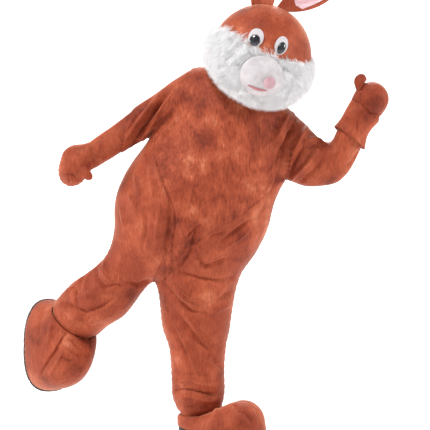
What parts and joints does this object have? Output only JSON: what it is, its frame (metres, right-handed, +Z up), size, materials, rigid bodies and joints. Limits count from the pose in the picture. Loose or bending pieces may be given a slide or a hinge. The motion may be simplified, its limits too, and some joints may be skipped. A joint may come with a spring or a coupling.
{
  "type": "rabbit mascot costume",
  "caption": "Hollow full-body plush rabbit costume in a one-leg pose: padded jumpsuit, furry head with satin-lined ears, mitts with gauntlets and boot covers with flat soles.",
  "frame": {"origin": "middle of the suit's neck, where the suit and the head rest on the wearer's shoulders", "axes": "+Z up; the costume's front faces -Y; +X is the wearer's left"},
  "size_m": [1.5265, 0.7266, 2.0001],
  "materials": {
    "black_rubber": "black rubber",
    "brass": "brass",
    "brown_pile": "brown pile",
    "brown_plush": "brown plush",
    "brown_tape": "brown tape",
    "dark_plastic": "dark plastic",
    "pink_felt": "pink felt",
    "pink_satin": "pink satin",
    "white_felt": "white felt",
    "white_fur": "white fur"
  },
  "bodies": {
    "root": {"boot_cuff_left": "brown_plush", "boot_cuff_right": "brown_plush", "boot_inner_left": "brown_plush", "boot_inner_right": "brown_plush", "boot_outer_left": "brown_plush", "boot_outer_right": "brown_plush", "boot_sole_left": "black_rubber", "boot_sole_right": "black_rubber", "ear_back_left": "brown_plush", "ear_back_right": "brown_plush", "ear_lining_left": "pink_satin", "ear_lining_right": "pink_satin", "eye_white_left": "white_felt", "eye_white_right": "white_felt", "gauntlet_left": "brown_plush", "gauntlet_right": "brown_plush", "head_back": "brown_plush", "head_crown": "brown_plush", "head_ruff": "white_fur", "mitt_back_left": "brown_plush", "mitt_back_right": "brown_plush", "mitt_palm_left": "brown_plush", "mitt_palm_right": "brown_plush", "mouth": "pink_felt", "muzzle": "white_felt", "nose": "pink_felt", "pupil_left": "dark_plastic", "pupil_right": "dark_plastic", "sleeve_left": "brown_plush", "sleeve_right": "brown_plush", "suit_back_left": "brown_plush", "suit_back_right": "brown_plush", "suit_bib": "brown_pile", "suit_front_left": "brown_plush", "suit_front_right": "brown_plush", "thumb_left": "brown_plush", "thumb_right": "brown_plush", "zip_slider": "brass", "zip_strip": "brown_tape"},
    "zip_tab": {"zip_pull": "brass"}
  },
  "joints": [
    {"name": "zip_pull_tab", "type": "hinge", "parent": "root", "child": "zip_tab", "pos_m": [-0.00844, 0.07402, 0.04066], "axis": [0.9272, 0, -0.3746], "range_deg": [0, 120]}
  ]
}
